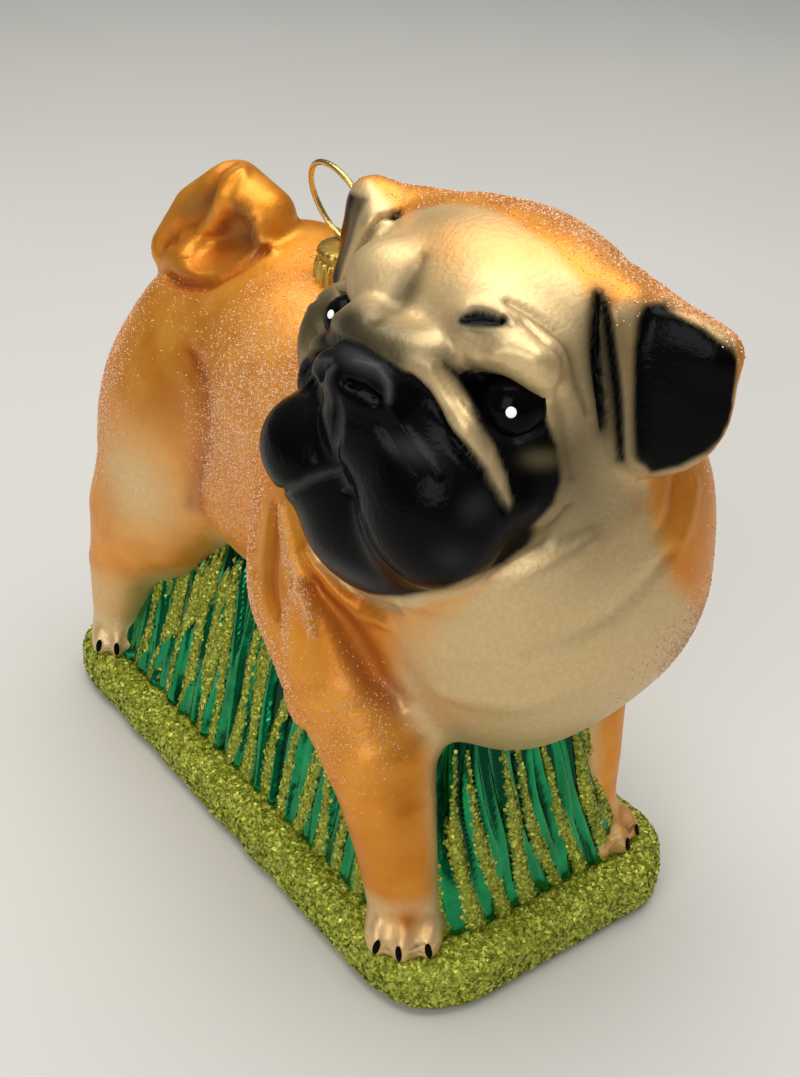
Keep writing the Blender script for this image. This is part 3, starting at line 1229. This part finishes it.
def build_grass():
    grass = wrap_sheet("grass_wall", grass_shape, around=720, rings=52)
    points = points_of(grass)
    # The turn and height of each point are found again from its place, for the layers.
    high = np.clip(points[:, 2] - BASE_TOP + 0.1, 0, WALL_HIGH)
    fine_turn = np.linspace(0, 1, 4401)[:-1]
    foot_width, foot_length, _ = WALL_SIZES
    x, y, _ = rounded_outline(fine_turn, *WALL_SIZES)
    angle = np.arctan2(y / foot_length, x / foot_width)
    order = np.argsort(angle)
    half_width, half_length, _ = wall_sizes(high)
    own = np.arctan2(points[:, 1] / half_length, points[:, 0] / half_width)
    unwound = np.unwrap(fine_turn[order] * 2 * np.pi) / (2 * np.pi)
    turn = np.interp(own, angle[order], unwound) % 1
    _, groove, lime = grass_relief(turn, high)
    lime = np.where(points[:, 2] > BASE_TOP + WALL_HIGH - 0.4, 0, lime)
    lay_layers(grass, {"groove": groove, "lime": lime})
    return grass, lime


def base_shape(turn, height):
    """The rounded slab. The first 0.12 of the height is its underside, and the last 0.28 its top."""
    up = np.clip((height - 0.12) / 0.6, 0, 1)
    inward_low = np.clip(1 - height / 0.12, 0, 1)
    inward_top = np.clip((height - 0.72) / 0.28, 0, 1)
    # Up the side: bottom rounding, straight, top rounding.
    path = up * 3
    low = np.clip(path, 0, 1) * np.pi / 2
    mid = np.clip(path - 1, 0, 1)
    high = np.clip(path - 2, 0, 1) * np.pi / 2
    inset = BASE_EDGE * (1 - np.sin(low)) + BASE_EDGE * (1 - np.cos(high))
    z = BASE_EDGE * (1 - np.cos(low)) + mid * (BASE_TOP - 2 * BASE_EDGE) + BASE_EDGE * np.sin(high)
    x, y, out = rounded_outline(turn, *(size - inset for size in BASE_SIZES))
    shrink = (1 - inward_low ** 1.5) * (1 - inward_top ** 1.5)
    # The side is a little uneven, and stays clear of the full size by the thickness of the flakes on it.
    wave = 0.12 * np.sin(turn * 2 * np.pi * 23) * np.sin(up * np.pi) * (1 + np.sin(turn * 2 * np.pi * 7))
    flush = wave - 0.25
    return np.c_[(x + out[:, 0] * flush) * shrink, (y + out[:, 1] * flush) * shrink, z]


CAP_PLACE = (1.6, 4.9, 70.3)
CAP_HIGH = 5
FLUTES = 24


def cap_shape(turn, height):
    """A crimped cap: a fluted skirt, a waist, a rim and a flat crown, each a radius and a height."""
    profile = np.array([(0, 0), (4.1, 0), (4.35, 0.15), (4.45, 1), (4.4, 2.6), (4.3, 3.3), (3.9, 3.5),
                        (3.85, 3.8), (4.2, 4), (4.3, 4.3), (4.1, 4.75), (3.4, 4.95), (1.6, CAP_HIGH),
                        (0, CAP_HIGH)])
    flute = np.array([0, 0.6, 1, 1, 0.9, 0.5, 0.1, 0.1, 0.2, 0.3, 0.2, 0, 0, 0])
    along = height * (len(profile) - 1)
    steps = np.arange(len(profile))
    radius, z = np.interp(along, steps, profile[:, 0]), np.interp(along, steps, profile[:, 1])
    angle = turn * 2 * np.pi
    radius = radius + 0.3 * np.interp(along, steps, flute) * np.cos(angle * FLUTES) * (radius > 0.1)
    x, y = radius * np.cos(angle), radius * np.sin(angle)
    return np.c_[x, y, z] + CAP_PLACE


WIRE_RADIUS = 0.36


def build_loop():
    """The spring wire: a leg, round the ring, and the other leg."""
    lean = math.radians(20)
    ring_radius, ring_high, half_gap = 5.7, 5.4, 28
    bends = 56
    leg = [(0, -1.1, -1.6), (0, -1.1, -0.6), (0, -1.12, 0.1)]
    places = list(leg)
    for i in range(bends + 1):
        angle = math.radians(-90 - half_gap - (360 - 2 * half_gap) * i / bends)
        up = ring_high + ring_radius * math.sin(angle)
        places.append((-math.sin(lean) * up, ring_radius * math.cos(angle), math.cos(lean) * up))
    places += [(x, -y, z) for x, y, z in reversed(leg)]
    curve = bpy.data.curves.new("wire_loop", "CURVE")
    curve.dimensions = "3D"
    curve.bevel_depth = WIRE_RADIUS * MM
    curve.bevel_resolution = 4
    curve.use_fill_caps = True
    spline = curve.splines.new("POLY")
    spline.points.add(len(places) - 1)
    cap_x, cap_y, cap_foot = CAP_PLACE
    for point, (x, y, z) in zip(spline.points, places):
        point.co = ((cap_x + x) * MM, (cap_y + y) * MM, (cap_foot + CAP_HIGH + z) * MM, 1)
    wire = bpy.data.objects.new("wire_loop", curve)
    bpy.context.scene.collection.objects.link(wire)
    activate(wire)
    bpy.ops.object.convert(target="MESH")
    wire = bpy.context.object
    smooth_faces(wire)
    return wire


# Small round parts

def join_all(name, parts):
    deselect()
    for part in parts:
        part.select_set(True)
    bpy.context.view_layer.objects.active = parts[0]
    bpy.ops.object.join()
    parts[0].name = name
    return parts[0]


def drop(place, away, along, sizes, segments=20):
    """A smooth lens at a place. Its sizes are its width, its length and, outwards, its thickness."""
    deselect()
    bpy.ops.mesh.primitive_uv_sphere_add(segments=segments, ring_count=segments // 2, radius=1)
    piece = bpy.context.object
    away = np.array(away, float) / np.linalg.norm(away)
    along = np.array(along, float) - away * (away @ np.array(along, float))
    along /= np.linalg.norm(along)
    axes = np.stack([np.cross(along, away), along, away])
    set_points(piece, (points_of(piece) * MM * sizes) @ axes + place)
    smooth_faces(piece)
    return piece


def eye_place(sign):
    """Middle of an eye, and the radius of its ball. The right one lies deeper, behind its lids."""
    place = from_head((sign * 11.6, -8.9, 4.4))
    if sign > 0:
        return place, 3.4
    away = np.array(EYE_DOT_RIGHT) / np.linalg.norm(EYE_DOT_RIGHT)
    return place + away * 0.9, 2.5


def build_eyes():
    balls = []
    for sign in (-1, 1):
        place, radius = eye_place(sign)
        balls.append(drop(place, HEAD_TURNED @ (0, -1, 0), (0, 0, 1), (radius, radius, radius), segments=40))
    return join_all("eyes", balls)


def build_eye_dots():
    dots = []
    for sign, aim, size in ((1, EYE_DOT_LEFT, 0.52), (-1, EYE_DOT_RIGHT, 0.45)):
        place, radius = eye_place(sign)
        away = np.array(aim) / np.linalg.norm(aim)
        dots.append(drop(place + away * radius, away, (0.2, 0, 1), (size, size * 1.05, 0.16)))
    return join_all("eye_dots", dots)


NAIL = (0.42, 1.05, 0.2)


def nail_places(foot):
    """Where each nail is painted, and which way it runs. The toes that lie against the grass have none."""
    apart, reach = (3, 7.4) if "front" in foot else (2.7, 6.6)
    row = {"front_left": (0, apart), "rear_right": (-apart, 0)}.get(foot, (-apart, -0.4, apart))
    for aside in row:
        tip = toe_place(foot, aside, reach, 8.5)
        along = turn_about("Z", PAW_TURN[foot]) @ np.array((0.1 * aside, -0.6, -1.0))
        yield press_onto(glass_form, tip[None], 8)[0], along


def build_nails():
    nails = []
    for foot in FEET:
        for place, along in nail_places(foot):
            away = slope(glass_form, place[None])[0]
            nails.append(drop(place + away * 0.02, away, along, NAIL, segments=16))
    return join_all("nails", nails)


def scatter(name, source, weight, count, size, tilt, seed, unwrap):
    """Flakes laid at random over a piece, more where the weight is higher. Each is a thin closed kite of
    four faces, with a tint of its own and a small patch at its own place on the map."""
    source.data.calc_loop_triangles()
    corners = np.empty(len(source.data.loop_triangles) * 3, int)
    source.data.loop_triangles.foreach_get("vertices", corners)
    corners = corners.reshape(-1, 3)
    points, normals = points_of(source), normals_of(source)
    a, b, c = (points[corners[:, i]] for i in range(3))
    chance = np.linalg.norm(np.cross(b - a, c - a), axis=1) * weight[corners].mean(1)
    luck = np.random.default_rng(seed)
    chosen = luck.choice(len(corners), count, p=chance / chance.sum())
    u, v = luck.random((2, count, 1))
    u, v = np.where(u + v > 1, 1 - u, u), np.where(u + v > 1, 1 - v, v)
    roots = a[chosen] * (1 - u - v) + b[chosen] * u + c[chosen] * v
    away = normals[corners[chosen]].mean(1)
    away /= np.linalg.norm(away, axis=1)[:, None]
    lean = away + tilt * luck.normal(size=(count, 3))
    lean /= np.linalg.norm(lean, axis=1)[:, None]
    across = np.cross(lean, luck.normal(size=(count, 3)))
    across /= np.linalg.norm(across, axis=1)[:, None]
    other = np.cross(lean, across)
    big = size * luck.uniform(0.65, 1.3, (count, 1)) / 2
    thin = 0.045 * size
    # A flake's middle is lifted off the surface, so that its tilted edges don't sink far into it.
    middle = roots + away * 0.12 * size
    made = np.stack([middle + across * big, middle - across * big,
                     middle + other * big + lean * thin, middle - other * big + lean * thin], axis=1)
    faces = np.array([(0, 2, 3), (1, 3, 2), (0, 1, 2), (0, 3, 1)])
    mesh = bpy.data.meshes.new(name)
    every = (np.arange(count)[:, None, None] * 4 + faces).reshape(-1, 3)
    mesh.vertices.add(count * 4)
    mesh.vertices.foreach_set("co", made.ravel() * MM)
    mesh.loops.add(every.size)
    mesh.loops.foreach_set("vertex_index", every.ravel())
    mesh.polygons.add(len(every))
    mesh.polygons.foreach_set("loop_start", np.arange(0, every.size, 3))
    mesh.polygons.foreach_set("use_smooth", [False] * len(every))
    mesh.update(calc_edges=True)
    piece = bpy.data.objects.new(name, mesh)
    bpy.context.scene.collection.objects.link(piece)
    lay_layers(piece, {"tint": np.repeat(luck.random(count), 4)})
    patch = np.array([(0.0015, 0), (-0.0015, 0), (0, 0.0015), (0, -0.0015)])
    on_map = (unwrap(roots)[:, None] + patch).reshape(-1, 2)[every.ravel()]
    mesh.uv_layers.new(name="OFBake").data.foreach_set("uv", on_map.ravel())
    return piece


def unwrap_round(roots):
    """Once round the long axis, and along it."""
    angle = np.arctan2(roots[:, 0], roots[:, 2] - 45) / (2 * np.pi) + 0.5
    return np.c_[0.02 + 0.96 * angle, 0.02 + 0.96 * (roots[:, 1] + 55) / 110]


def unwrap_base(roots):
    """Side band and top side by side."""
    angle = np.arctan2(roots[:, 1] / 2, roots[:, 0]) / (2 * np.pi) + 0.5
    band = np.c_[0.02 + 0.96 * angle, 0.02 + 0.4 * roots[:, 2] / 8]
    top = np.c_[0.02 + 0.96 * (roots[:, 1] + 46) / 92, 0.5 + 0.45 * (roots[:, 0] + 23) / 46]
    return np.where(roots[:, 2:] > BASE_TOP - 0.2, top, band)


# The whole ornament

place_camera()
light_scene()
lay_floor()

dog, plain, rise = build_skin()
layers = paint_layers(plain, normals_of(dog), rise)
lay_layers(dog, layers)
finish_piece(dog, FLESH, coat_lacquer())

black_gloss = glossy_black()
finish_piece(build_eyes(), ["eye_right", "eye_left"], black_gloss)
finish_piece(build_eye_dots(), [], white_enamel())
finish_piece(build_nails(), [], black_gloss)

grass, lime = build_grass()
finish_piece(grass, ["grass_block"], grass_glass())
base = wrap_sheet("base_slab", base_shape, around=300, rings=40)
finish_piece(base, ["base"], glitter_ground())

cap = wrap_sheet("crimped_cap", cap_shape, around=192, rings=52)
finish_piece(cap, ["cap"], gold("cap_gold_leaf", CAP_GOLD, WORN_CAP_GOLD, rough=0.3))
brass = gold("loop_brass", WIRE_BRASS, WORN_WIRE_BRASS, rough=0.16)
finish_piece(build_loop(), ["hanging_loop"], brass)

# Glitter lies on the base but for its underside and under the grass, and on the lime blades.
lime_flakes = flakes("lime_flakes", LIME_FLAKE, BRIGHT_LIME_FLAKE, metal=0.35, rough=0.28)
slab = np.abs(points_of(base))
under_grass = (slab[:, 0] < 16.5) & (slab[:, 1] < 38.5) & (slab[:, 2] > 4)
cover = np.where(under_grass | (slab[:, 2] < 0.25), 0.0, 1.0)
base_flakes = scatter("base_flakes", base, cover, count=36000, size=0.64, tilt=0.34, seed=21,
                      unwrap=unwrap_base)
finish_piece(base_flakes, [], lime_flakes)
grass_flakes = scatter("grass_flakes", grass, lime, count=34000, size=0.5, tilt=0.34, seed=22,
                       unwrap=unwrap_round)
finish_piece(grass_flakes, [], lime_flakes)

sugar_frost = flakes("sugar_frost", SUGAR, BRIGHT_SUGAR, metal=0.0, rough=0.2)
sugar_grains = scatter("sugar_grains", dog, layers["sugar"] ** 1.5, count=48000, size=0.19, tilt=0.6,
                       seed=23, unwrap=unwrap_round)
finish_piece(sugar_grains, [], sugar_frost)
